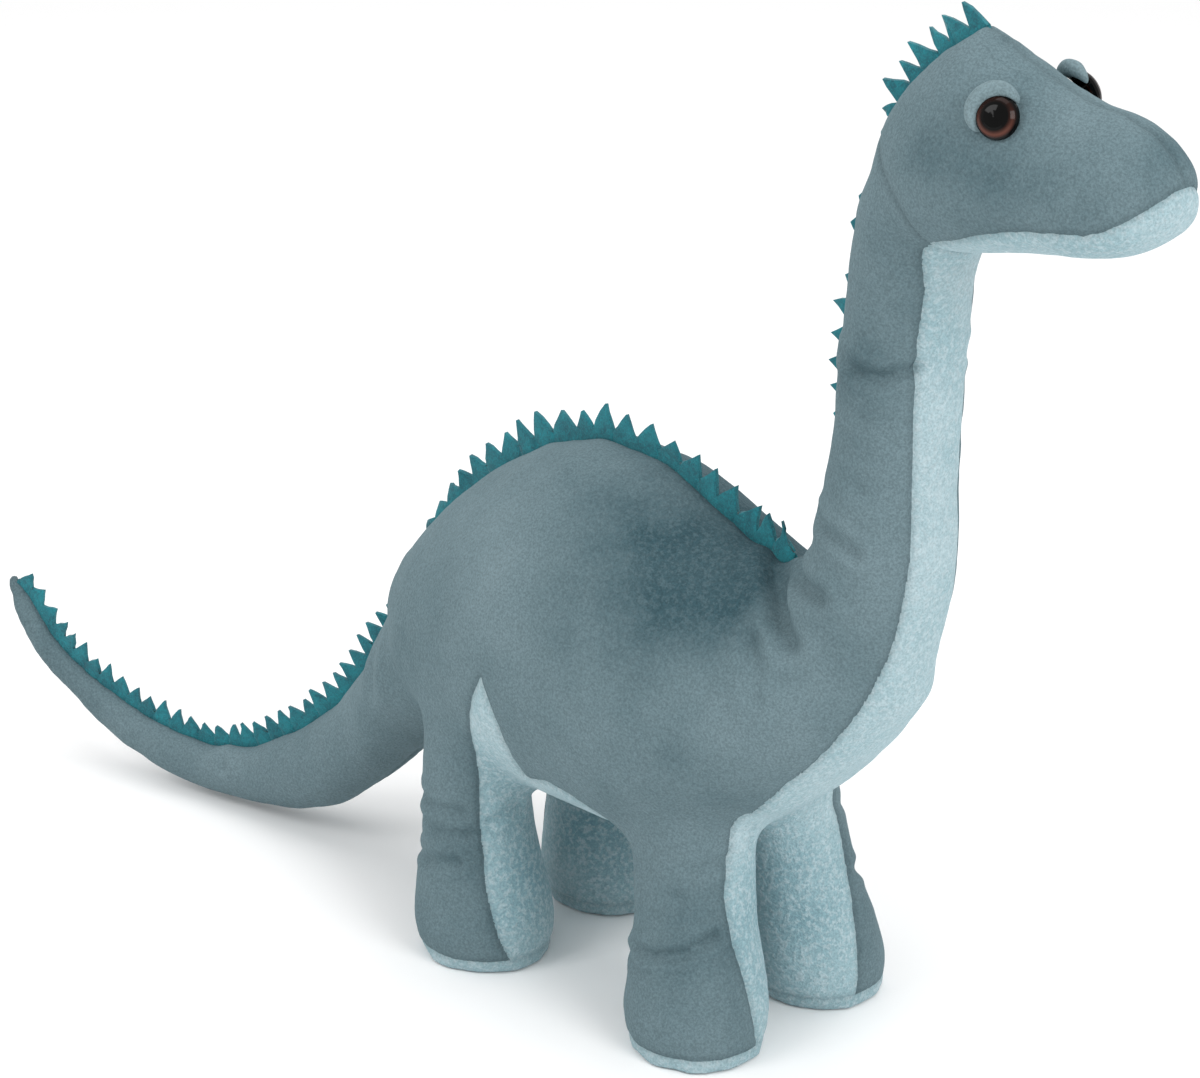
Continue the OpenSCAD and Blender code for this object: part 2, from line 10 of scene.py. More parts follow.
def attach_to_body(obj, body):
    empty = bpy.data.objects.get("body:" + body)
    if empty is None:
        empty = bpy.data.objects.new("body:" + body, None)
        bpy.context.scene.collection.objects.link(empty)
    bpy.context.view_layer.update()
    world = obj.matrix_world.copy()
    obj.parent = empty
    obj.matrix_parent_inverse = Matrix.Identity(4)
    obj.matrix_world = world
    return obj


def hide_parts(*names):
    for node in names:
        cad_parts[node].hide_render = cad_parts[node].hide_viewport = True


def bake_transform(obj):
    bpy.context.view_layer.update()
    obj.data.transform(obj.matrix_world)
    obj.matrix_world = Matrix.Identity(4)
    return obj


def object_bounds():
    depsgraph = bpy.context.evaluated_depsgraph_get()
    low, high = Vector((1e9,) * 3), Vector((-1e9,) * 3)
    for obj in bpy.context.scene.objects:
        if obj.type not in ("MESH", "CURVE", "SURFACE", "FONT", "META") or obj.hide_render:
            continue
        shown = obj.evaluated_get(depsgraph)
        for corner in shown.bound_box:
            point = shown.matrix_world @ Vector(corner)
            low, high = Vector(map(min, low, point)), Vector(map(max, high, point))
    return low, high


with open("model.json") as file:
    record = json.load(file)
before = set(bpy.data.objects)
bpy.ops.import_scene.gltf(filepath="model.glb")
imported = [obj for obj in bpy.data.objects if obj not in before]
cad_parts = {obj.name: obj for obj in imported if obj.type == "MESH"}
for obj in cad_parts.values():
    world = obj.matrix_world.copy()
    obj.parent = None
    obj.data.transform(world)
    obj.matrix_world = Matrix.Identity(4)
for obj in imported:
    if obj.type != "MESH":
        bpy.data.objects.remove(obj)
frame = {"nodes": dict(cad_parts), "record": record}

CAD_BOX = [list(map(float, corner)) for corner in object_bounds()]
MM = 0.001
SIDES = {"left": 1, "right": -1}


# ---- Places taken from the frame, in millimetres ----

def joint_place(name):
    for joint in frame["record"]["behaviour"]["joints"]:
        if joint["name"] == name:
            return np.array(joint["pos_m"]) / MM


def mount_place(name):
    for mount in frame["record"]["mounts"]:
        if mount["name"] == name:
            return np.array(mount["pos_m"]) / MM


NECK_BEND = joint_place("neck_bend")
HEAD_NOD = joint_place("head_nod")
TAIL_SWAY = joint_place("tail_sway")
FOOT = {leg: mount_place(leg + "_left_sole_rest") for leg in ("front", "hind")}
LEAN = {"front": (0.12, 0.13), "hind": (0.07, 0.0)}   # back and inward for each mm of height
# Direction across the back edge of a leg's inner panel, from the leg's axis
BACK_EDGE = {"front": (0.139, 0.99), "hind": (0.643, 0.766)}
TAIL_SWING = math.radians(11)
SOLE_SEAM = 4.5
LEG_TOP = 60.0
LEG_REACH = 29      # largest distance of a leg's plush from its axis
TAIL_START = -62.0
TAIL_TIP = CAD_BOX[0][0] / MM
NECK_RUN = (np.array([135.0, 0, 165.0]), np.array([160.0, 0, 215.0]))
HEAD_LEAN = np.array([0.6157, 0, 0.788])   # across the cut between neck and head
HEAD_SEAM = 3.5

# Cloth, filling and how finely they are made, in millimetres
PLUSH = 1.4
FELT = 1.5
COVER_VOXEL = 3.6
FILLING_VOXEL = 4.5
FILLING_INSET = 3.0
NOD_ROOM = 8        # further inset of the head's filling inside the neck
MOST_SWELLING = 1.6
STUFFING_FRAMES = 20
MIDDLE_BAND = 1.4   # half width of the band taken as the middle seam
PATH_STEP = 0.5

# Half width of the light front panel for each height: from the foot up the front
# of the leg, over the chest and up the throat
FRONT_PANEL = [
    (0, 23.5), (15, 25.5), (30, 27.3), (40, 28.6), (56, 28.8), (68, 26), (77, 22), (84, 22.8),
    (92, 24.6), (100, 24.2), (111, 22), (123, 19.7), (135, 16.6), (148, 13.4), (165, 12.2),
    (195, 11.3), (235, 11.6), (253, 12), (268, 11.6), (285, 15.4),
]
# Where the front of the toy begins, for each height
FRONT_BEGINS = [
    (0, 98), (60, 91), (80, 88), (110, 105), (150, 130), (186, 145), (200, 150), (300, 158),
]
# Front and back edge of the light wedge on the hind leg, for each height
WEDGE_FRONT = [
    (50, 40), (62, 36), (70, 33.5), (78, 32), (89, 31), (99, 28.3), (108, 24), (113, 21.4),
]
WEDGE_BACK = [
    (0, 22.5), (8, 21.1), (17, 18.8), (32, 14.5), (47, 11.4), (61, 10.2), (75, 9.6), (84, 10),
    (95, 12.8), (103, 16.2), (110, 19.8), (113, 21.4),
]
BELLY_PANEL = [(-48, 7), (-20, 17), (0, 26.4), (93, 26.4), (110, 25)]
# Height of the belly panel's edge on the flank between the legs
FLANK_EDGE = [(20, 58), (27, 72), (32, 77), (45, 79.5), (54, 77.5), (62, 71), (70, 58)]
# Height of the chin seam along the head
CHIN_SEAM = [
    (150, 276), (174, 284.2), (177, 285.3), (189, 289.3), (200, 293.6), (209, 296.6),
    (222, 298.6), (232, 299.6), (238, 301.8), (244.5, 305.9), (249, 309.8), (254, 315.5),
    (262, 322),
]


def table(rows, x):
    """The value at x on straight lines through the rows."""
    xs, ys = np.array(rows, float).T
    return np.interp(x, xs, ys)


def unswung(p):
    """Points of the tail turned back to the middle plane."""
    q = p.copy()
    c, s = math.cos(TAIL_SWING), math.sin(TAIL_SWING)
    dx, dy = p[:, 0] - TAIL_SWAY[0], p[:, 1]
    q[:, 0] = TAIL_SWAY[0] + c * dx + s * dy
    q[:, 1] = -s * dx + c * dy
    return q


def leg_axis(leg, z):
    return FOOT[leg][0] - LEAN[leg][0] * z, FOOT[leg][1] - LEAN[leg][1] * z


def middle_field(p):
    return np.where(p[:, 0] < TAIL_SWAY[0], unswung(p)[:, 1], p[:, 1])


def leg_light_field(leg, p):
    """Positive on the inner panel of a leg; the size is about the distance to its edge."""
    ax, ay = leg_axis(leg, p[:, 2])
    u, v = p[:, 0] - ax, np.abs(p[:, 1]) - ay
    back = BACK_EDGE[leg][0] * u - BACK_EDGE[leg][1] * v
    if leg == "front":
        return np.where(u > 0, table(FRONT_PANEL, p[:, 2]) - np.abs(p[:, 1]), back)
    ahead = np.where(v > 0, p[:, 0] - table(WEDGE_BACK, p[:, 2]), 20.0)
    return np.where(u > 0, ahead, back)


def wedge_field(p):
    x, z = p[:, 0], p[:, 2]
    inside = np.minimum(x - table(WEDGE_BACK, z), table(WEDGE_FRONT, z) - x)
    return np.minimum(np.minimum(inside * 0.93, np.abs(p[:, 1]) - 22), 116 - z)


def belly_field(p):
    x, y, z = p[:, 0], np.abs(p[:, 1]), p[:, 2]
    front = np.minimum(table(FRONT_PANEL, z) - y, x - table(FRONT_BEGINS, z))
    under = np.minimum(np.minimum(table(BELLY_PANEL, x) - y, x + 48), 85 - z)
    flank = np.minimum(table(FLANK_EDGE, x) - z, np.minimum(x - 18, 72 - x))
    return np.maximum(np.maximum(front, under), flank)


def head_field(p):
    curl = np.minimum(0.145 * np.maximum(p[:, 0] - 168, 0) ** 2, 6)
    return (p - HEAD_NOD) @ HEAD_LEAN - HEAD_SEAM + curl


def chin_field(p):
    return table(CHIN_SEAM, p[:, 0]) - p[:, 2]


def neck_field(p):
    d = NECK_RUN[1] - NECK_RUN[0]
    return (p - NECK_RUN[0]) @ d / np.linalg.norm(d)


# ---- Panels: name, the body each rides on or the two it spans, its cloth and its CAD node ----

PANELS = []


def panel(node, bodies, cloth):
    """Add a panel and return its number."""
    PANELS.append({"name": node + "_cover", "bodies": bodies, "cloth": cloth, "node": node})
    return len(PANELS) - 1


def both_sides(node, bodies, cloth):
    return {s: panel(node + "_" + s, bodies, cloth) for s in SIDES}


TORSO = both_sides("torso_skin", ["torso"], "blue")
BELLY = panel("belly_panel", ["torso"], "pale")
GUSSET = both_sides("flank_gusset", ["torso"], "pale")
NECK = both_sides("neck_skin", ["torso", "neck"], "blue")
THROAT = panel("throat_panel", ["torso", "neck"], "pale")
HEAD = both_sides("head_skin", ["neck", "head"], "blue")
CHIN = panel("chin_panel", ["neck", "head"], "pale")
TAIL = both_sides("tail_skin", ["torso", "tail"], "blue")
LEGS = {
    (leg, s, part): panel(
        leg + "_" + s + "_" + part, ["torso", leg + "_" + s + "_leg"],
        "blue" if part == "outer" else "pale")
    for leg in FOOT for s in SIDES for part in ("outer", "inner", "sole")
}


def panel_of(p):
    """The panel number of each point."""
    left = middle_field(p) > 0
    ids = np.where(left, TORSO["left"], TORSO["right"])
    light = belly_field(p) > 0
    ids[light] = BELLY
    wedge = (wedge_field(p) > 0) & ~light
    ids[wedge & left], ids[wedge & ~left] = GUSSET["left"], GUSSET["right"]
    for leg in FOOT:
        ax, ay = leg_axis(leg, p[:, 2])
        reach = np.hypot(p[:, 0] - ax, np.abs(p[:, 1]) - ay)
        on_leg = (p[:, 2] < LEG_TOP) & (reach < LEG_REACH)
        inner = leg_light_field(leg, p) > 0
        sole = p[:, 2] < SOLE_SEAM
        for s, side in SIDES.items():
            here = on_leg & (p[:, 1] * side > 0)
            ids[here & ~inner] = LEGS[leg, s, "outer"]
            ids[here & inner] = LEGS[leg, s, "inner"]
            ids[here & sole] = LEGS[leg, s, "sole"]
    neck = neck_field(p) > 0
    throat = neck & light
    ids[neck & left], ids[neck & ~left], ids[throat] = NECK["left"], NECK["right"], THROAT
    head = head_field(p) > 0
    chin = head & (chin_field(p) > 0)
    ids[head & left], ids[head & ~left], ids[chin] = HEAD["left"], HEAD["right"], CHIN
    tail = p[:, 0] < TAIL_START
    ids[tail & left], ids[tail & ~left] = TAIL["left"], TAIL["right"]
    return ids


def seam_field(a, b, p):
    """The field whose zero is the seam between panels a and b, or None for an open bend."""
    pair = {a, b}
    halves = [set(TORSO.values()), set(NECK.values()), set(HEAD.values()), set(TAIL.values())]
    if pair in halves:
        return middle_field(p)
    in_head = [k in (*HEAD.values(), CHIN) for k in (a, b)]
    if all(in_head):
        return chin_field(p)
    if any(in_head):
        return head_field(p)
    if pair & {BELLY, THROAT} and pair & {*TORSO.values(), *NECK.values()}:
        return belly_field(p)
    if pair & set(GUSSET.values()) and pair & set(TORSO.values()):
        return wedge_field(p)
    for leg in FOOT:
        for s in SIDES:
            outer, inner, sole = (LEGS[leg, s, part] for part in ("outer", "inner", "sole"))
            if pair == {outer, inner}:
                return leg_light_field(leg, p)
            if sole in pair and pair <= {outer, inner, sole}:
                return p[:, 2] - SOLE_SEAM
    return None


# ---- The stuffed form ----

COVERED = [n for n in frame["nodes"] if not any(k in n for k in ("crest", "eye", "washer"))]


def plain_object(name, mesh):
    piece = bpy.data.objects.new(name, mesh)
    bpy.context.scene.collection.objects.link(piece)
    return piece


def drop(piece):
    mesh = piece.data
    bpy.data.objects.remove(piece)
    bpy.data.meshes.remove(mesh)


def applied(piece):
    """The piece's mesh with its modifiers applied, as a new mesh."""
    graph = bpy.context.evaluated_depsgraph_get()
    return bpy.data.meshes.new_from_object(piece.evaluated_get(graph))


def joined_copy(names):
    """One mesh of several CAD nodes, each with its doubled vertices merged."""
    work = bmesh.new()
    for name in names:
        work.from_mesh(frame["nodes"][name].data)
    bmesh.ops.remove_doubles(work, verts=work.verts, dist=0.00002)
    mesh = bpy.data.meshes.new("joined")
    work.to_mesh(mesh)
    work.free()
    return mesh


def largest_shell(mesh):
    """Keep only the outer skin."""
    work = bmesh.new()
    work.from_mesh(mesh)
    seen, best = set(), []
    for start in work.verts:
        if start in seen:
            continue
        seen.add(start)
        stack, shell = [start], [start]
        while stack:
            for edge in stack.pop().link_edges:
                for v in edge.verts:
                    if v not in seen:
                        seen.add(v)
                        stack.append(v)
                        shell.append(v)
        if len(shell) > len(best):
            best = shell
    keep = set(best)
    bmesh.ops.delete(work, geom=[v for v in work.verts if v not in keep], context="VERTS")
    work.to_mesh(mesh)
    work.free()


def remeshed(name, mesh, voxel, smooth):
    piece = plain_object(name, mesh)
    mod = piece.modifiers.new("voxels", "REMESH")
    mod.mode, mod.voxel_size, mod.adaptivity = "VOXEL", voxel, 0.0
    shape = applied(piece)
    drop(piece)
    largest_shell(shape)
    piece = plain_object(name, shape)
    relax(piece, smooth)
    return piece


def edge_array(mesh):
    e = np.empty(len(mesh.edges) * 2, np.int64)
    mesh.edges.foreach_get("vertices", e)
    return e.reshape(-1, 2)


def vertex_array(mesh):
    v = np.empty(len(mesh.vertices) * 3)
    mesh.vertices.foreach_get("co", v)
    return v.reshape(-1, 3)


def set_vertices(mesh, v):
    mesh.vertices.foreach_set("co", np.ascontiguousarray(v, np.float32).ravel())
    mesh.update()


def spread(v, e, amount, share=None):
    """One step of evening out: each vertex moves toward the mean of its neighbours."""
    total, count = np.zeros_like(v), np.zeros(len(v))
    for a, b in ((0, 1), (1, 0)):
        np.add.at(total, e[:, a], v[e[:, b]])
        np.add.at(count, e[:, a], 1)
    step = (total / np.maximum(count, 1)[:, None] - v) * amount
    return v + (step if share is None else step * share[:, None])


def relax(piece, rounds):
    """Even out the surface without shrinking it."""
    v, e = vertex_array(piece.data), edge_array(piece.data)
    for _ in range(rounds):
        v = spread(v, e, 0.5)
        v = spread(v, e, -0.52)
    set_vertices(piece.data, v)


def stuff(piece, cap):
    """Swell the skin with cloth under pressure, no vertex further than cap."""
    before = vertex_array(piece.data)
    mod = piece.modifiers.new("stuffing", "CLOTH")
    cloth = mod.settings
    cloth.quality, cloth.mass = 5, 0.3
    cloth.tension_stiffness = cloth.compression_stiffness = cloth.shear_stiffness = 15
    cloth.bending_stiffness = 0.5
    cloth.use_pressure, cloth.uniform_pressure_force = True, 4
    cloth.effector_weights.gravity = 0
    mod.collision_settings.use_collision = False
    mod.collision_settings.use_self_collision = False
    mod.point_cache.frame_start, mod.point_cache.frame_end = 1, STUFFING_FRAMES
    scene = bpy.context.scene
    for number in range(1, STUFFING_FRAMES + 1):
        scene.frame_set(number)
    swollen = applied(piece)
    move = vertex_array(swollen) - before
    bpy.data.meshes.remove(swollen)
    piece.modifiers.clear()
    scene.frame_set(1)
    size = np.linalg.norm(move, axis=1)
    move *= (cap * np.tanh(size / cap) / np.maximum(size, 1e-9))[:, None]
    set_vertices(piece.data, before + move)


def vertex_normals(v, f):
    n = np.cross(v[f[:, 2]] - v[f[:, 0]], v[f[:, 3]] - v[f[:, 1]])
    total = np.zeros_like(v)
    for k in range(4):
        np.add.at(total, f[:, k], n)
    return total / np.maximum(np.linalg.norm(total, axis=1), 1e-12)[:, None]


def lumps(p, size, seed):
    """Soft noise from -1 to 1, with lumps of the given size."""
    return np.array([noise.noise(Vector(q)) for q in (p + seed * 71.3) / size])


def near_line(p, line):
    """Distance from each point to a line through points."""
    best = np.full(len(p), 1e9)
    for a, b in zip(line[:-1], line[1:]):
        a, b = np.array(a, float), np.array(b, float)
        t = np.clip((p - a) @ (b - a) / ((b - a) @ (b - a)), 0, 1)
        best = np.minimum(best, np.linalg.norm(p - a - t[:, None] * (b - a), axis=1))
    return best


# Creases pulled into the plush: points on the right side, depth and half width
CREASES = [
    ([(106, -3, 165), (112, -9, 162), (118, -15, 158), (124, -20, 152.5), (131, -22.5, 148)],
     3.8, 3.5),
    ([(112, -3, 169), (122, -12, 167), (131, -19, 166), (140, -22.5, 166)], 3.2, 3.0),
    ([(133, -12, 188), (139, -18.5, 187), (146, -20.5, 186), (153, -21, 184)], 2.0, 2.3),
    ([(118, -27, 146), (122, -29, 138), (124, -31, 130)], 2.2, 3.0),
    ([(142, -12, 243), (148, -17.5, 240), (158, -18, 239.5), (167, -12, 243)], 2.7, 2.3),
    ([(143, -14, 227), (152, -18, 225), (160, -17, 226)], 0.8, 2.4),
    ([(147, -14, 205), (155, -20, 203), (163, -17, 205)], 0.8, 2.6),
    ([(-17, -42, 57), (-8, -48, 56), (6, -46, 57)], 1.6, 1.9),
    ([(-15, -44, 48), (-5, -48, 47), (9, -45, 49)], 1.2, 1.8),
    ([(-19, -40, 35), (-9, -48.5, 35), (5, -48, 39)], 1.6, 2.0),
    ([(80, -43, 34), (92, -46, 35), (103, -42, 38), (110, -34, 44)], 1.9, 1.9),
    ([(76, -38, 30), (84, -46, 28.5), (92, -49, 29)], 1.2, 1.8),
    ([(74, -38, 53), (88, -45, 54), (100, -41, 56)], 1.1, 2.2),
    ([(95, -36, 64), (104, -34, 65), (109, -26, 69)], 1.0, 2.2),
    ([(13, -39.5, 54), (15, -35, 55.7), (15.6, -29, 57.5)], 1.2, 1.8),
    ([(110.5, -18.3, 80), (108.4, -16.3, 69)], 1.1, 1.0),
    ([(-152.5, -16, 27), (-151, -20, 22), (-147, -22, 16)], 1.5, 1.8),
    ([(-56, -18, 119), (-60, -24, 106), (-63, -27, 92), (-62, -27, 76)], 2.2, 3.6),
]
# Fuller and flatter places: centre, reach and how far the plush stands out
SWELLS = [((158, -10, 132), 18, -0.9), ((72, -36, 62), 11, 3.4), ((76, -42, 46), 10, 1.6)]
# A short tuck at the top of the head, in the same form as the creases
DARTS = [([(187.5, -1, 345), (188.5, -5, 341)], 1.0, 1.1)]


def soft_moves(p, seam_d, gather):
    """How far each vertex moves along its normal, in millimetres."""
    move = 0.75 * lumps(p, 34, 1) + 0.35 * lumps(p, 13, 2) + 0.1 * lumps(p, 4, 5)
    move *= np.clip(p[:, 2] / 12, 0.15, 1)   # flatter near the ground
    depth = 0.62 + 0.25 * lumps(p, 5.5, 3)
    move -= depth * np.exp(-(seam_d / 1.1) ** 2) * gather
    move -= 0.3 * np.exp(-(seam_d / 4.5) ** 2) * gather
    for line, deep, wide in CREASES + DARTS:
        for side in (1, -1):
            shift = 0 if side == 1 else 1.7
            path = [(x + shift, y * side, z + shift) for x, y, z in line]
            d = near_line(p, path)
            near = d < 6 * wide + 2
            if not near.any():
                continue
            d[near] += 0.5 * lumps(p[near], 9, 4 + deep)
            fold = np.exp(-(d / wide) ** 2)
            bulge = 0.38 * np.exp(-((d - 2.1 * wide) / wide) ** 2)
            move += (deep if side == 1 else 0.6 * deep) * (bulge - fold)
    for centre, reach, rise in SWELLS:
        for side in (1, -1):
            d = np.linalg.norm(p - np.array(centre) * (1, side, 1), axis=1)
            move += rise * np.exp(-(d / reach) ** 2)
    return move


def ridge_rise(p):
    """Lift of the seam that runs over the crown and down between the eyes."""
    x, y = p[:, 0], np.abs(p[:, 1])
    peak = 2.6 * np.exp(-((x - 183) / 8) ** 2) * np.clip(1 - y / 9, 0, 1)
    ridge = 1.6 * np.exp(-((x - 204) / 16) ** 2) * np.clip(1 - y / 8, 0, 1)
    return np.where(p[:, 2] > 322, peak + ridge, 0)


def snapped(v, f, ids):
    """Move the vertices between two panels onto the seam; returns the seam's vertices too."""
    a, b = np.concatenate([f[:, [0, 1]], f[:, [1, 2]], f[:, [2, 3]], f[:, [3, 0]]]).T
    owner = np.tile(ids, 4)
    key = np.minimum(a, b) * len(v) + np.maximum(a, b)
    order = np.argsort(key, kind="stable")
    key, owner = key[order], owner[order]
    first = np.flatnonzero(np.append(True, key[1:] != key[:-1]))
    second = np.minimum(first + 1, len(key) - 1)
    both = key[first] == key[second]
    first, second = first[both], second[both]
    differ = owner[first] != owner[second]
    first, second = first[differ], second[differ]
    ends = np.stack([key[first] // len(v), key[first] % len(v)], 1)
    pairs = np.sort(np.stack([owner[first], owner[second]], 1), 1)
    seams = []
    for pa, pb in sorted(set(map(tuple, pairs.tolist()))):
        mine = ends[(pairs[:, 0] == pa) & (pairs[:, 1] == pb)]
        if seam_field(pa, pb, v[:2]) is None:
            continue
        who = np.unique(mine)
        ragged = 0.25 if PANELS[pa]["cloth"] != PANELS[pb]["cloth"] else 0.0
        for _ in range(3):
            q = v[who]
            value = seam_field(pa, pb, q) + ragged * lumps(q, 2.4, 31)
            grad = np.stack([
                (seam_field(pa, pb, q + h) - seam_field(pa, pb, q - h)) / 0.2
                for h in np.eye(3) * 0.1], 1)
            size = (grad ** 2).sum(1)
            step = -(value / np.maximum(size, 0.2))[:, None] * grad
            long = np.linalg.norm(step, axis=1)
            step *= np.minimum(1, 1.2 / np.maximum(long, 1e-9))[:, None]
            v[who] = q + step
        seams.append(mine)
    return np.concatenate(seams)


def quads_of(mesh):
    count = np.empty(len(mesh.polygons), np.int64)
    mesh.polygons.foreach_get("loop_total", count)
    loops = np.empty(len(mesh.loops), np.int64)
    mesh.loops.foreach_get("vertex_index", loops)
    assert (count == 4).all()
    return loops.reshape(-1, 4)


def subdivided(piece, levels):
    mod = piece.modifiers.new("finer", "SUBSURF")
    mod.levels = mod.render_levels = levels
    mesh = applied(piece)
    drop(piece)
    return mesh


def attach(piece, bodies):
    """Let a piece ride on one body; a piece on two bodies only has its place baked into its mesh."""
    if len(bodies) == 1:
        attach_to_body(piece, bodies[0])
    else:
        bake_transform(piece)


def sewn_piece(info, v, f, normals, nap_and_shade, seam_d, cloths):
    """One panel as a closed piece of plush with its own thickness."""
    used, where = np.unique(f, return_inverse=True)
    f = where.reshape(f.shape)
    outer, n = v[used], normals[used]
    count = len(used)
    slim = np.clip((outer[:, 0] - TAIL_TIP) / 34, 0.12, 1)[:, None]   # thin in the tail's tip
    inner = outer - n * PLUSH * slim
    a, b = np.concatenate([f[:, [0, 1]], f[:, [1, 2]], f[:, [2, 3]], f[:, [3, 0]]]).T
    here = a * count + b
    lone = ~np.isin(here, b * count + a)
    a, b = a[lone], b[lone]
    rim = np.stack([b, a, a + count, b + count], 1)
    faces = np.concatenate([f, f[:, ::-1] + count, rim])
    mesh = bpy.data.meshes.new(info["name"])
    mesh.vertices.add(2 * count)
    mesh.vertices.foreach_set("co", (np.concatenate([outer, inner]) * MM).astype(np.float32).ravel())
    mesh.loops.add(faces.size)
    mesh.loops.foreach_set("vertex_index", faces.astype(np.int32).ravel())
    mesh.polygons.add(len(faces))
    mesh.polygons.foreach_set("loop_start", np.arange(len(faces), dtype=np.int32) * 4)
    mesh.update(calc_edges=True)
    mesh.validate()
    mesh.shade_smooth()
    # Per vertex: the lie of the pile with painted shade and painted top light, and the closeness to
    # a seam, which the pile darkens as painted shade
    for name, values in (("nap_and_shade", nap_and_shade), ("seam", np.exp(-(seam_d / 1.6) ** 2))):
        layer = mesh.attributes.new(name, "FLOAT", "POINT")
        layer.data.foreach_set("value", np.tile(values[used], 2).astype(np.float32))
    mesh.normals_split_custom_set_from_vertices(np.concatenate([n, -n]).astype(float).tolist())
    mesh.materials.append(cloths[info["cloth"]])
    piece = plain_object(info["name"], mesh)
    attach(piece, info["bodies"])
    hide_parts(info["node"])


# Where one part runs into another and the plush is stretched smooth: centre and reach
JOINS = [
    ((166, 0, 150), 26), ((150, -20, 135), 20), ((120, 0, 172), 12),
    ((74, -26, 64), 17), ((112, -24, 72), 12), ((93, -44, 74), 18), ((28, -28, 60), 13),
    ((0, -46, 72), 20), ((-26, -30, 64), 18), ((-66, -6, 84), 26), ((160, 0, 296), 14),
]


def ease_joins(form):
    """Smooth the form where its parts run together."""
    v, e = vertex_array(form.data), edge_array(form.data)
    share = np.zeros(len(v))
    for centre, reach in JOINS:
        for side in (1, -1):
            d = np.linalg.norm(v / MM - np.array(centre) * (1, side, 1), axis=1)
            share = np.maximum(share, np.exp(-(d / reach) ** 2))
    for _ in range(14):
        v = spread(v, e, 0.6, share)
    set_vertices(form.data, v)


def sew_plush(cloths):
    """Every cover, cut from one stuffed form; returns the form's finished vertices."""
    form = remeshed("form", joined_copy(COVERED), COVER_VOXEL * MM, 5)
    ease_joins(form)
    stuff(form, MOST_SWELLING * MM)
    mesh = subdivided(form, 2)
    v, f = vertex_array(mesh) / MM, quads_of(mesh)
    bpy.data.meshes.remove(mesh)
    v[:, 2] = np.where(v[:, 2] < 1.2, np.maximum(v[:, 2] * 0.4, 0), v[:, 2])
    ids = panel_of(v[f].mean(1))
    seams = snapped(v, f, ids)
    tree = kdtree.KDTree(len(seams) * 4)
    k = 0
    for a, b in seams:
        for t in (0.0, 0.25, 0.5, 0.75):
            tree.insert(v[a] * (1 - t) + v[b] * t, k)
            k += 1
    tree.balance()
    seam_d = np.array([tree.find(q)[2] for q in v])
    v[:, 2] += ridge_rise(v)
    q = unswung(v)
    tip = np.clip((-228 - q[:, 0]) / 20, 0, 1)
    v += (2.3 * tip)[:, None] * vertex_normals(v, f) + (tip ** 2)[:, None] * (0.6, 0.2, 3.2)
    normals = vertex_normals(v, f)
    gather = np.clip(v[:, 2] / 3, 0.3, 1)
    v += normals * soft_moves(v, seam_d, gather)[:, None]
    v[:, 2] = np.maximum(v[:, 2], 0.0)
    normals = vertex_normals(v, f)
    nap_and_shade = nap_and_painted_shade(v, normals)
    for number, info in enumerate(PANELS):
        mine = ids == number
        if mine.any():
            sewn_piece(info, v, f[mine], normals, nap_and_shade, seam_d, cloths)
        else:
            print("empty panel", info["name"])
    return v


# Places where the pile is brushed dark (below 0) or light, and places painted darker as shade low on
# the legs: centre, reach and amount
BRUSHED_AND_SHADED = [
    ((66, -24, 170), 26, -0.42), ((92, -22, 162), 26, -0.6), ((84, -42, 137), 24, -0.28),
    ((36, -20, 178), 22, -0.15), ((112, -14, 158), 14, -0.2), ((126, -24, 148), 9, -0.2),
    ((247, -8, 322), 9, -0.3), ((222, -22, 307), 16, -0.22), ((195, -24, 318), 20, -0.3),
    ((170, -24, 312), 16, -0.16), ((-211, -30, 34), 24, -0.2), ((152, -18, 240), 11, -0.2),
    ((0, -47, 45), 16, -0.12), ((98, -44, 38), 16, -0.12), ((12, -36, 150), 26, 0.16),
    ((150, -20, 290), 12, 0.12), ((140, -38, 115), 26, 0.1), ((60, -50, 105), 24, 0.05),
    # Painted shade on the inner sides of the legs and under the body, where they shade each other
    ((20, -18, 35), 26, -0.5), ((112, -14, 35), 26, -0.3), ((18, -34, 70), 14, -0.25),
]


def nap_and_painted_shade(v, normals):
    """0 where the pile lies dark or is painted in shade, 1 where it lies light or is painted lit."""
    shade = 0.6 + 0.22 * lumps(v, 28, 7) + 0.1 * lumps(v, 11, 8)
    for centre, reach, amount in BRUSHED_AND_SHADED:
        for side in (1, -1):
            d = np.linalg.norm(v - np.array(centre) * (1, side, 1), axis=1)
            shade += amount * np.exp(-(d / reach) ** 2)
    # Painted light: plush that faces up is made lighter, as if lit from above
    shade += 0.12 * normals[:, 2]
    return np.clip(shade, 0, 1)


# ---- Fillings ----

def fill(body, node, fibre):
    """The fibre inside one part: its CAD filling, smoothed and set in from the cover."""
    piece = remeshed(node + "_fibre", joined_copy([node]), FILLING_VOXEL * MM, 3)
    v = vertex_array(piece.data)
    f = quads_of(piece.data)
    inset = np.full(len(v), FILLING_INSET)
    if body == "head":
        # Slimmer where it reaches into the neck, so that it can turn there
        into = (HEAD_NOD - v / MM) @ HEAD_LEAN
        inset += NOD_ROOM * np.clip((into + 13) / 16, 0, 1)
    set_vertices(piece.data, v - vertex_normals(v, f) * inset[:, None] * MM)
    piece.data.shade_smooth()
    piece.data.materials.clear()
    piece.data.materials.append(fibre)
    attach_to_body(piece, body)
    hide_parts(node)


# ---- Felt crest ----

def even(path, step):
    """A path through the given places, smoothed, with points at even distances."""
    path = np.array(path, float)
    for _ in range(4):
        path[1:-1] = (path[:-2] + 2 * path[1:-1] + path[2:]) / 4
    run = np.append(0, np.cumsum(np.linalg.norm(np.diff(path, axis=0), axis=1)))
    s = np.arange(0, run[-1], step)
    return np.stack([np.interp(s, run, path[:, 0]), np.interp(s, run, path[:, 1])], 1)


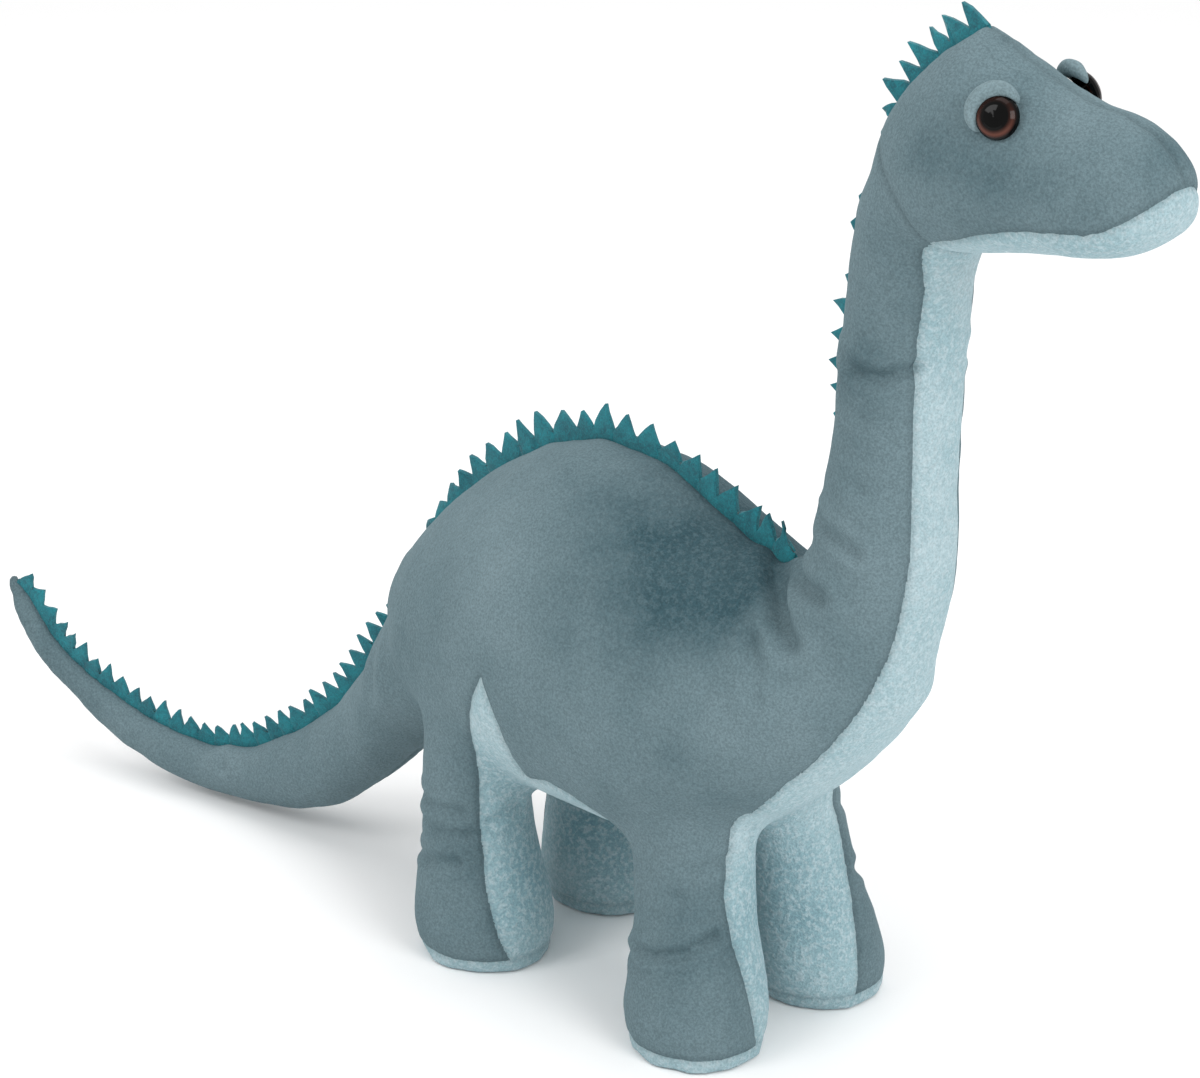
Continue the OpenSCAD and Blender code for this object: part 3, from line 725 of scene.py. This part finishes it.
def top_line(v, first, last, step=2.0):
    """Places in X and Z along the top of the middle seam."""
    near = v[np.abs(v[:, 1]) < MIDDLE_BAND]
    line = []
    for x in np.arange(first, last, step):
        here = near[np.abs(near[:, 0] - x) < 1.5]
        line.append((x, here[:, 2].max()))
    return line


def neck_line(v, low, high, step=2.0):
    """Places up the back of the neck."""
    middle = np.abs(v[:, 1]) < MIDDLE_BAND
    near = v[middle & (v[:, 0] < 160) & (v[:, 0] > NECK_BEND[0] - 40)]
    line = []
    for z in np.arange(low, high, step):
        here = near[np.abs(near[:, 2] - z) < 1.5]
        line.append((here[:, 0].min(), z))
    return line


def crown_line(v, centre, first, last):
    """Places round the back of the head, by their direction from its middle."""
    middle = np.abs(v[:, 1]) < MIDDLE_BAND
    near = v[middle & (v[:, 2] > centre[1] - 25)][:, [0, 2]] - centre
    angle = np.degrees(np.arctan2(near[:, 1], near[:, 0])) % 360
    far = np.linalg.norm(near, axis=1)
    line = []
    for a in np.arange(first, last, -2.5):
        size = far[np.abs(angle - a) < 2].max()
        turn = math.radians(a)
        line.append(centre + size * np.array([math.cos(turn), math.sin(turn)]))
    return line


def crest_piece(node, felt, bodies, path, pitch, heights, strip, lean, seed, swing=False):
    """A felt strip sewn into the seam, with cut teeth that vary in height, width and lean."""
    path = even(path, PATH_STEP)
    ahead = np.gradient(path, axis=0)
    ahead /= np.linalg.norm(ahead, axis=1)[:, None]
    outward = np.stack([-ahead[:, 1], ahead[:, 0]], 1)
    length = (len(path) - 1) * PATH_STEP
    count = max(int(round(length / pitch)), 1)
    rng = np.random.default_rng(seed)
    edges = np.linspace(0.3, length - 0.3, count + 1)
    edges[1:-1] += rng.uniform(-0.13, 0.13, count - 1) * pitch
    columns = []
    for k in range(count):
        a, b = edges[k], edges[k + 1]
        tall = np.interp((k + 0.5) / count, np.linspace(0, 1, len(heights)), heights)
        tall *= rng.uniform(0.8, 1.18)
        tip = 0.5 + lean + rng.uniform(-0.1, 0.1)
        sway = rng.uniform(-1.3, 1.3)
        rising = (0.0, 0.35 * tip, 0.7 * tip, tip)
        for t in rising + (tip + 0.3 * (1 - tip), tip + 0.65 * (1 - tip), 0.97):
            share = t / tip if t <= tip else (1 - t) / (1 - tip)
            columns.append((a + (b - a) * t, tall * max(share, 0.0), sway, tall))
    columns.append((edges[-1], 0.0, 0.0, 1.0))
    rows = (-2.8, -0.4, 0.5 * strip, strip)
    points = []
    for s, rise, sway, tall in columns:
        i = min(int(round(s / PATH_STEP)), len(path) - 1)
        low = strip * (1 - min(s, length - s, 4) / 4)
        for h in rows + (strip + 0.5 * rise + 0.1, strip + rise + 0.2):
            h = h - low if h > 0 else h
            x, z = path[i] + outward[i] * h
            bow = sway * (max(h - strip, 0) / tall) ** 1.6
            points.append((x, bow, z))
    points = np.array(points)
    flat = points * (1, 0, 1)
    waver = np.tile([0.3, 0.6, 1, 1, 1, 1], len(columns))
    points[:, 1] += 0.55 * lumps(flat, 13, 11 + seed) * waver
    if swing:
        c, sn = math.cos(TAIL_SWING), math.sin(TAIL_SWING)
        dx, dy = points[:, 0] - TAIL_SWAY[0], points[:, 1].copy()
        points[:, 0] = TAIL_SWAY[0] + c * dx - sn * dy
        points[:, 1] = sn * dx + c * dy
    high = len(rows) + 2
    faces = [(i * high + j, (i + 1) * high + j, (i + 1) * high + j + 1, i * high + j + 1)
             for i in range(len(columns) - 1) for j in range(high - 1)]
    mesh = bpy.data.meshes.new(node + "_felt")
    mesh.from_pydata((points * MM).tolist(), [], faces)
    piece = plain_object("cut", mesh)
    thick = piece.modifiers.new("felt", "SOLIDIFY")
    thick.thickness, thick.offset = FELT * MM, 0
    soft = piece.modifiers.new("edge", "BEVEL")
    soft.width, soft.segments, soft.limit_method = 0.3 * MM, 2, "ANGLE"
    soft.angle_limit = math.radians(60)
    finished = applied(piece)
    drop(piece)
    finished.materials.append(felt)
    piece = plain_object(node + "_felt", finished)
    finished.shade_smooth()
    bpy.ops.object.select_all(action="DESELECT")
    piece.select_set(True)
    bpy.context.view_layer.objects.active = piece
    bpy.ops.object.shade_smooth_by_angle(angle=math.radians(40))
    attach(piece, bodies)
    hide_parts(node)


def sew_crest(v, felt):
    """The four lengths of the crest, each on the finished plush."""
    tail = unswung(v)
    tail = tail[tail[:, 0] < TAIL_SWAY[0] + 30]
    corner = NECK_BEND[0] - 37
    back = top_line(v[(v[:, 0] > TAIL_START) & (v[:, 2] > 90)], -56, corner)
    behind = top_line(tail, TAIL_TIP + 2.5, TAIL_START)
    crest_piece("tail_crest", felt, ["torso", "tail"], behind, 7.0,
                (4, 6, 5.5, 5, 5.5, 6.5, 6.5, 3), 2.4, -0.08, 3, swing=True)
    crest_piece("back_crest", felt, ["torso"], back, 9.0,
                (1.5, 6, 7.5, 7.5, 7, 7.5, 8), 3.0, 0.06, 5)
    nape = neck_line(v, 176, HEAD_NOD[2] - 6)
    crest_piece("neck_crest", felt, ["torso", "neck"], nape, 8.8,
                (7, 1.5, 0.5, 0.5, 6, 6.5, 7, 10, 6, 2, 4.5, 2), 2.2, 0.0, 8)
    crown = crown_line(v, np.array([186.0, 308.0]), 200, 95)
    crest_piece("crown_crest", felt, ["neck", "head"], crown, 7.2,
                (0.6, 1.5, 3, 6.5, 7.5, 8, 8, 7.5), 2.0, -0.3, 4)


# ---- Materials ----

def new_material(name):
    material = bpy.data.materials.new(name)
    material.use_nodes = True
    nodes = material.node_tree.nodes
    nodes.clear()
    output = nodes.new("ShaderNodeOutputMaterial")
    shader = nodes.new("ShaderNodeBsdfPrincipled")
    material.node_tree.links.new(shader.outputs[0], output.inputs[0])
    return material, nodes, material.node_tree.links, shader


def linear(r, g, b):
    """A colour given as 0 to 255, in linear light."""
    return tuple(
        ((c / 255 + 0.055) / 1.055) ** 2.4 if c > 10 else c / 255 / 12.92
        for c in (r, g, b)) + (1,)


def pile_group():
    """Short plush pile: colour that shifts with the lie of the pile and the painted shade and light
    mixed into it, darkened along the seams as painted shade, and a fine rough height.
    """
    group = bpy.data.node_groups.new("plush_pile", "ShaderNodeTree")
    make = group.interface.new_socket
    make("Dark", in_out="INPUT", socket_type="NodeSocketColor")
    make("Middle", in_out="INPUT", socket_type="NodeSocketColor")
    make("Light", in_out="INPUT", socket_type="NodeSocketColor")
    make("Grain", in_out="INPUT", socket_type="NodeSocketFloat")
    make("Fleck", in_out="INPUT", socket_type="NodeSocketFloat")
    make("Color", in_out="OUTPUT", socket_type="NodeSocketColor")
    make("Height", in_out="OUTPUT", socket_type="NodeSocketFloat")
    nodes, links = group.nodes, group.links
    given, result = nodes.new("NodeGroupInput"), nodes.new("NodeGroupOutput")
    place = nodes.new("ShaderNodeTexCoord")
    # The lie of the pile, with painted shade and painted top light mixed in
    nap_and_shade = nodes.new("ShaderNodeAttribute")
    nap_and_shade.attribute_name = "nap_and_shade"
    # Closeness to a seam, used only to paint shade into the seam grooves
    seam = nodes.new("ShaderNodeAttribute")
    seam.attribute_name = "seam"

    def grain(scale, detail, rough):
        texture = nodes.new("ShaderNodeTexNoise")
        texture.inputs["Scale"].default_value = scale
        texture.inputs["Detail"].default_value = detail
        texture.inputs["Roughness"].default_value = rough
        links.new(place.outputs["Object"], texture.inputs["Vector"])
        return texture.outputs["Fac"]

    def combined(a, b, kind="ADD"):
        node = nodes.new("ShaderNodeMath")
        node.operation = kind
        for socket, value in zip(node.inputs, (a, b)):
            if hasattr(value, "node"):
                links.new(value, socket)
            else:
                socket.default_value = value
        return node.outputs[0]

    def mix(factor, a, b, kind="MIX"):
        node = nodes.new("ShaderNodeMix")
        node.data_type, node.blend_type = "RGBA", kind
        for socket, value in ((node.inputs[0], factor), (node.inputs[6], a), (node.inputs[7], b)):
            if hasattr(value, "node"):
                links.new(value, socket)
            else:
                socket.default_value = value
        return node.outputs[2]

    tufts = grain(560, 2, 0.6)
    fibres = grain(1300, 2, 0.7)
    patches = grain(60, 3, 0.55)
    nap_and_shade_part = combined(nap_and_shade.outputs["Fac"], 0.8, "MULTIPLY")
    lie = combined(nap_and_shade_part, combined(patches, 0.2, "MULTIPLY"))
    ramp = nodes.new("ShaderNodeMapRange")
    ramp.inputs["From Min"].default_value, ramp.inputs["From Max"].default_value = 0.05, 0.5
    links.new(lie, ramp.inputs["Value"])
    low = mix(ramp.outputs[0], given.outputs["Dark"], given.outputs["Middle"])
    upper = nodes.new("ShaderNodeMapRange")
    upper.inputs["From Min"].default_value, upper.inputs["From Max"].default_value = 0.5, 0.95
    links.new(lie, upper.inputs["Value"])
    body = mix(upper.outputs[0], low, given.outputs["Light"])
    speck = nodes.new("ShaderNodeMapRange")
    speck.inputs["From Min"].default_value, speck.inputs["From Max"].default_value = 0.46, 0.62
    links.new(tufts, speck.inputs["Value"])
    strength = combined(speck.outputs[0], given.outputs["Fleck"], "MULTIPLY")
    flecked = mix(strength, body, given.outputs["Light"])
    shade = nodes.new("ShaderNodeMapRange")
    shade.inputs["From Min"].default_value, shade.inputs["From Max"].default_value = 0.36, 0.64
    shade.inputs["To Min"].default_value, shade.inputs["To Max"].default_value = 0.76, 1.2
    links.new(fibres, shade.inputs["Value"])
    fine = mix(given.outputs["Grain"], flecked, shade.outputs[0], "MULTIPLY")
    # Painted shade: the colour is darkened to 0.82 along the seams, as if shade lay in their grooves
    deep = nodes.new("ShaderNodeMapRange")
    deep.inputs["To Min"].default_value, deep.inputs["To Max"].default_value = 1.0, 0.82
    links.new(seam.outputs["Fac"], deep.inputs["Value"])
    links.new(mix(1.0, fine, deep.outputs[0], "MULTIPLY"), result.inputs["Color"])
    height = combined(combined(tufts, 0.7, "MULTIPLY"), combined(fibres, 0.3, "MULTIPLY"))
    links.new(height, result.inputs["Height"])
    return group


def plush_material(name, group, dark, middle, light, grain, fleck, bump):
    material, nodes, links, shader = new_material(name)
    pile = nodes.new("ShaderNodeGroup")
    pile.node_tree = group
    for socket, value in (("Dark", dark), ("Middle", middle), ("Light", light)):
        pile.inputs[socket].default_value = linear(*value)
    pile.inputs["Grain"].default_value = grain
    pile.inputs["Fleck"].default_value = fleck
    links.new(pile.outputs["Color"], shader.inputs["Base Color"])
    relief = nodes.new("ShaderNodeBump")
    relief.inputs["Strength"].default_value = bump
    relief.inputs["Distance"].default_value = 0.001
    links.new(pile.outputs["Height"], relief.inputs["Height"])
    links.new(relief.outputs[0], shader.inputs["Normal"])
    shader.inputs["Roughness"].default_value = 0.95
    shader.inputs["Specular IOR Level"].default_value = 0.15
    shader.inputs["Sheen Weight"].default_value = 0.35
    shader.inputs["Sheen Roughness"].default_value = 0.45
    shader.inputs["Sheen Tint"].default_value = linear(*light)
    return material


def felt_material():
    material, nodes, links, shader = new_material("teal_felt_cloth")
    place = nodes.new("ShaderNodeTexCoord")
    fibre = nodes.new("ShaderNodeTexNoise")
    fibre.inputs["Scale"].default_value = 900
    fibre.inputs["Detail"].default_value = 4
    fibre.inputs["Distortion"].default_value = 1.5
    cloud = nodes.new("ShaderNodeTexNoise")
    cloud.inputs["Scale"].default_value = 150
    links.new(place.outputs["Object"], fibre.inputs["Vector"])
    links.new(place.outputs["Object"], cloud.inputs["Vector"])
    both = nodes.new("ShaderNodeMix")
    both.inputs[0].default_value = 0.4
    links.new(fibre.outputs["Fac"], both.inputs[2])
    links.new(cloud.outputs["Fac"], both.inputs[3])
    ramp = nodes.new("ShaderNodeValToRGB")
    stops = ramp.color_ramp.elements
    stops[0].position, stops[0].color = 0.35, linear(2, 78, 90)
    stops[1].position, stops[1].color = 0.68, linear(14, 128, 138)
    links.new(both.outputs[0], ramp.inputs[0])
    links.new(ramp.outputs[0], shader.inputs["Base Color"])
    relief = nodes.new("ShaderNodeBump")
    relief.inputs["Strength"].default_value = 0.5
    relief.inputs["Distance"].default_value = 0.0003
    links.new(fibre.outputs["Fac"], relief.inputs["Height"])
    links.new(relief.outputs[0], shader.inputs["Normal"])
    shader.inputs["Roughness"].default_value = 0.9
    shader.inputs["Sheen Weight"].default_value = 0.2
    return material


def fibre_material():
    material, nodes, links, shader = new_material("white_fibre_filling")
    place = nodes.new("ShaderNodeTexCoord")
    tuft = nodes.new("ShaderNodeTexNoise")
    tuft.inputs["Scale"].default_value = 240
    tuft.inputs["Detail"].default_value = 5
    links.new(place.outputs["Object"], tuft.inputs["Vector"])
    ramp = nodes.new("ShaderNodeValToRGB")
    ramp.color_ramp.elements[0].color = linear(205, 206, 204)
    ramp.color_ramp.elements[1].color = linear(245, 245, 243)
    links.new(tuft.outputs["Fac"], ramp.inputs[0])
    links.new(ramp.outputs[0], shader.inputs["Base Color"])
    relief = nodes.new("ShaderNodeBump")
    relief.inputs["Distance"].default_value = 0.001
    links.new(tuft.outputs["Fac"], relief.inputs["Height"])
    links.new(relief.outputs[0], shader.inputs["Normal"])
    shader.inputs["Roughness"].default_value = 1.0
    return material


# ---- Eyes ----

def eye_frame(side):
    """Where an eye sits: the middle of its washer, the directions across, up and outward,
    the height of the dome's top above that middle, and the dome's radius."""
    washer = vertex_array(frame["nodes"]["eye_washer_" + side].data) / MM
    eye = vertex_array(frame["nodes"]["eye_" + side].data) / MM
    middle = (washer.max(0) + washer.min(0)) / 2
    _, _, rows = np.linalg.svd(washer - washer.mean(0), full_matrices=False)
    out = rows[2]
    if out[1] * SIDES[side] < 0:
        out = -out
    along = (eye - middle) @ out
    top = along.max()
    rim = np.linalg.norm((eye - middle) - along[:, None] * out, axis=1).max()
    up = np.array([0, 0, 1.0]) - out * out[2]
    up /= np.linalg.norm(up)
    across = np.cross(up, out)
    return middle, across, up, out, top, rim


def plastic_material(name, colour, rough):
    material, nodes, links, shader = new_material(name)
    place = nodes.new("ShaderNodeTexCoord")
    haze = nodes.new("ShaderNodeTexNoise")
    haze.inputs["Scale"].default_value = 300
    links.new(place.outputs["Object"], haze.inputs["Vector"])
    ramp = nodes.new("ShaderNodeMapRange")
    ramp.inputs["To Min"].default_value, ramp.inputs["To Max"].default_value = rough, rough + 0.08
    links.new(haze.outputs["Fac"], ramp.inputs["Value"])
    links.new(ramp.outputs[0], shader.inputs["Roughness"])
    shader.inputs["Base Color"].default_value = colour
    return material


def eye_material(side):
    """Brown iris round a black pupil, under a clear glossy dome, with painted shadow of the lid
    darkening its top.
    """
    middle, _, up, out, _, rim = eye_frame(side)
    material, nodes, links, shader = new_material("eye_" + side + "_gloss")
    place = nodes.new("ShaderNodeTexCoord")
    away = nodes.new("ShaderNodeVectorMath")
    away.operation = "SUBTRACT"
    away.inputs[1].default_value = tuple(middle * MM)
    links.new(place.outputs["Object"], away.inputs[0])
    cross = nodes.new("ShaderNodeVectorMath")
    cross.operation = "CROSS_PRODUCT"
    cross.inputs[1].default_value = tuple(out)
    links.new(away.outputs[0], cross.inputs[0])
    length = nodes.new("ShaderNodeVectorMath")
    length.operation = "LENGTH"
    links.new(cross.outputs[0], length.inputs[0])
    share = nodes.new("ShaderNodeMath")
    share.operation = "DIVIDE"
    share.inputs[1].default_value = rim * MM
    links.new(length.outputs["Value"], share.inputs[0])
    ramp = nodes.new("ShaderNodeValToRGB")
    stops = [(0.0, (0, 0, 0)), (0.6, (1, 1, 1)), (0.68, (52, 28, 22)), (0.79, (92, 54, 44)),
             (0.86, (70, 40, 33)), (0.92, (8, 6, 6)), (1.0, (2, 2, 2))]
    rings = ramp.color_ramp.elements
    rings[0].position, rings[0].color = stops[0][0], linear(*stops[0][1])
    rings[1].position, rings[1].color = stops[-1][0], linear(*stops[-1][1])
    for position, colour in stops[1:-1]:
        rings.new(position).color = linear(*colour)
    links.new(share.outputs[0], ramp.inputs[0])
    # Painted shadow: the iris gets darker towards its top, where the lid casts its shadow; the lower
    # ring stays brown
    height = nodes.new("ShaderNodeVectorMath")
    height.operation = "DOT_PRODUCT"
    height.inputs[1].default_value = tuple(up / (rim * MM))
    links.new(away.outputs[0], height.inputs[0])
    lit = nodes.new("ShaderNodeMapRange")
    lit.inputs["From Min"].default_value, lit.inputs["From Max"].default_value = -0.7, 0.5
    lit.inputs["To Min"].default_value, lit.inputs["To Max"].default_value = 1.0, 0.18
    links.new(height.outputs["Value"], lit.inputs["Value"])
    depth = nodes.new("ShaderNodeMix")
    depth.data_type, depth.blend_type = "RGBA", "MULTIPLY"
    depth.inputs[0].default_value = 1.0
    links.new(ramp.outputs[0], depth.inputs[6])
    links.new(lit.outputs[0], depth.inputs[7])
    links.new(depth.outputs[2], shader.inputs["Base Color"])
    shader.inputs["Roughness"].default_value = 0.08
    shader.inputs["Specular IOR Level"].default_value = 0.14
    return material


def eyelid(side, plush):
    """A padded crescent sewn round the upper back of the eye."""
    middle, across, up, out, top, rim = eye_frame(side)
    base = middle + out * (top - 4.3)
    forward = -across if (-across)[0] > 0 else across
    turns, ring = 34, 14
    first, last = math.radians(42), math.radians(222)
    points = []
    for i in range(turns + 1):
        t = i / turns
        angle = first + (last - first) * t
        swell = max(math.sin(math.pi * t), 0.0) ** 0.55
        wide, high = 2.7 * swell + 0.15, (3.1 if side == "right" else 2.5) * swell + 0.2
        spoke = forward * math.cos(angle) + up * math.sin(angle)
        stand = (1.2 if side == "right" else 0.2) * swell - 0.6
        centre = base + spoke * (rim + 1.2 * swell + 0.3) + out * stand
        for j in range(ring):
            b = 2 * math.pi * j / ring
            points.append(centre + spoke * wide * math.cos(b) + out * high * math.sin(b))
    faces = []
    for i in range(turns):
        for j in range(ring):
            a, b = i * ring + j, i * ring + (j + 1) % ring
            faces.append((a, b, b + ring, a + ring))
    faces.append(tuple(range(ring)))
    faces.append(tuple(reversed(range(turns * ring, (turns + 1) * ring))))
    mesh = bpy.data.meshes.new("eyelid_" + side + "_hood")
    mesh.from_pydata([tuple(p * MM) for p in points], [], faces)
    work = bmesh.new()
    work.from_mesh(mesh)
    bmesh.ops.recalc_face_normals(work, faces=work.faces)
    work.to_mesh(mesh)
    work.free()
    piece = plain_object("raw_lid", mesh)
    finished = subdivided(piece, 2)
    v = vertex_array(finished) / MM
    n = np.array([q.normal for q in finished.vertices])
    v += n * (0.18 * lumps(v, 3.0, 21) + 0.15 * lumps(v, 6, 22))[:, None]
    set_vertices(finished, v * MM)
    finished.shade_smooth()
    for name in ("nap_and_shade", "seam"):
        layer = finished.attributes.new(name, "FLOAT", "POINT")
        layer.data.foreach_set("value", np.full(len(v), 0.75 if name == "nap_and_shade" else 0.0, np.float32))
    finished.materials.append(plush)
    piece = plain_object("eyelid_" + side + "_hood", finished)
    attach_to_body(piece, "head")
    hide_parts("eyelid_" + side)


# ---- Studio ----

VIEW_FROM = (0.8744, -0.8678, 0.6254)
VIEW_TURN, VIEW_RISE = 44.37, 21.49
FLOOR_REACH, FLOOR_Z = 6, -0.0004


def studio():
    camera = bpy.data.cameras.new("camera")
    camera.lens, camera.sensor_width, camera.sensor_fit = 119.1, 36, "HORIZONTAL"
    camera.clip_start, camera.clip_end = 0.05, 20
    holder = bpy.data.objects.new("camera", camera)
    turn, rise = math.radians(VIEW_TURN), math.radians(VIEW_RISE)
    level = math.cos(rise)
    back = Vector((math.sin(turn) * level, -math.cos(turn) * level, math.sin(rise)))
    right = Vector((0, 0, 1)).cross(back).normalized()
    above = back.cross(right)
    frame_of_view = Matrix((right, above, back)).transposed().to_4x4()
    frame_of_view.translation = Vector(VIEW_FROM)
    holder.matrix_world = frame_of_view
    bpy.context.scene.collection.objects.link(holder)
    bpy.context.scene.camera = holder

    world = bpy.context.scene.world or bpy.data.worlds.new("world")
    bpy.context.scene.world = world
    world.use_nodes = True
    sky = world.node_tree.nodes
    shade = sky.get("Background") or sky.new("ShaderNodeBackground")
    shade.inputs[0].default_value = (1, 1, 1, 1)
    shade.inputs[1].default_value = 0.84
    bpy.context.scene.view_settings.view_transform = "Standard"

    def lamp(name, place, size, power, aim=(0.05, 0, 0.17)):
        light = bpy.data.lights.new(name, "AREA")
        light.size, light.energy = size, power
        holder = bpy.data.objects.new(name, light)
        holder.location = place
        holder.rotation_euler = (Vector(aim) - Vector(place)).to_track_quat("-Z", "Y").to_euler()
        bpy.context.scene.collection.objects.link(holder)

    lamp("key", (-0.35, -1.4, 1.5), 0.8, 9)
    lamp("fill", (1.6, -0.25, 1.1), 0.8, 12)
    lamp("top", (0.0, 0.2, 1.9), 1.2, 7)

    bpy.ops.object.select_all(action="DESELECT")
    mesh = bpy.data.meshes.new("floor")
    corners = [(x * FLOOR_REACH, y * FLOOR_REACH, FLOOR_Z)
               for x, y in ((-1, -1), (1, -1), (1, 1), (-1, 1))]
    mesh.from_pydata(corners, [], [(0, 1, 2, 3)])
    material, _, _, shader = new_material("pale_floor")
    shader.inputs["Base Color"].default_value = (0.97, 0.97, 0.97, 1)
    shader.inputs["Roughness"].default_value = 0.9
    mesh.materials.append(material)
    plain_object("floor", mesh)


def dress(name, material):
    """A CAD solid that stays, with its finished material."""
    for holder in frame["nodes"][name].material_slots:
        holder.material = material
    if not frame["nodes"][name].material_slots:
        frame["nodes"][name].data.materials.append(material)


studio()
pile = pile_group()
# Each plush runs from its dark to its light colour; the dark end also carries the painted shade, the
# light end the painted top light
cloths = {
    "blue": plush_material("grey_blue_plush_pile", pile, (48, 74, 82), (94, 114, 120),
                           (112, 131, 137), 0.75, 0.16, 0.7),
    # Lighter copy of the blue plush for the eyelids: partly a lighter cloth, partly painted light
    # that the raised lid catches
    "lid": plush_material("eyelid_plush_pile", pile, (58, 84, 92), (104, 125, 131),
                          (123, 141, 146), 0.75, 0.16, 0.7),
    "pale": plush_material("pale_plush_pile", pile, (104, 142, 152), (143, 170, 177),
                           (178, 194, 199), 0.6, 0.5, 0.9),
}
felt = felt_material()
fibre = fibre_material()
sew_crest(sew_plush(cloths), felt)
for part in ("torso", "neck", "head", "tail"):
    fill(part, part + "_filling", fibre)
for leg in FOOT:
    for s in SIDES:
        fill(leg + "_" + s + "_leg", leg + "_" + s + "_filling", fibre)
washer_plastic = plastic_material("milky_washer_plastic", linear(216, 216, 212), 0.4)
for s in SIDES:
    dress("eye_" + s, eye_material(s))
    dress("eye_washer_" + s, washer_plastic)
    eyelid(s, cloths["lid"])
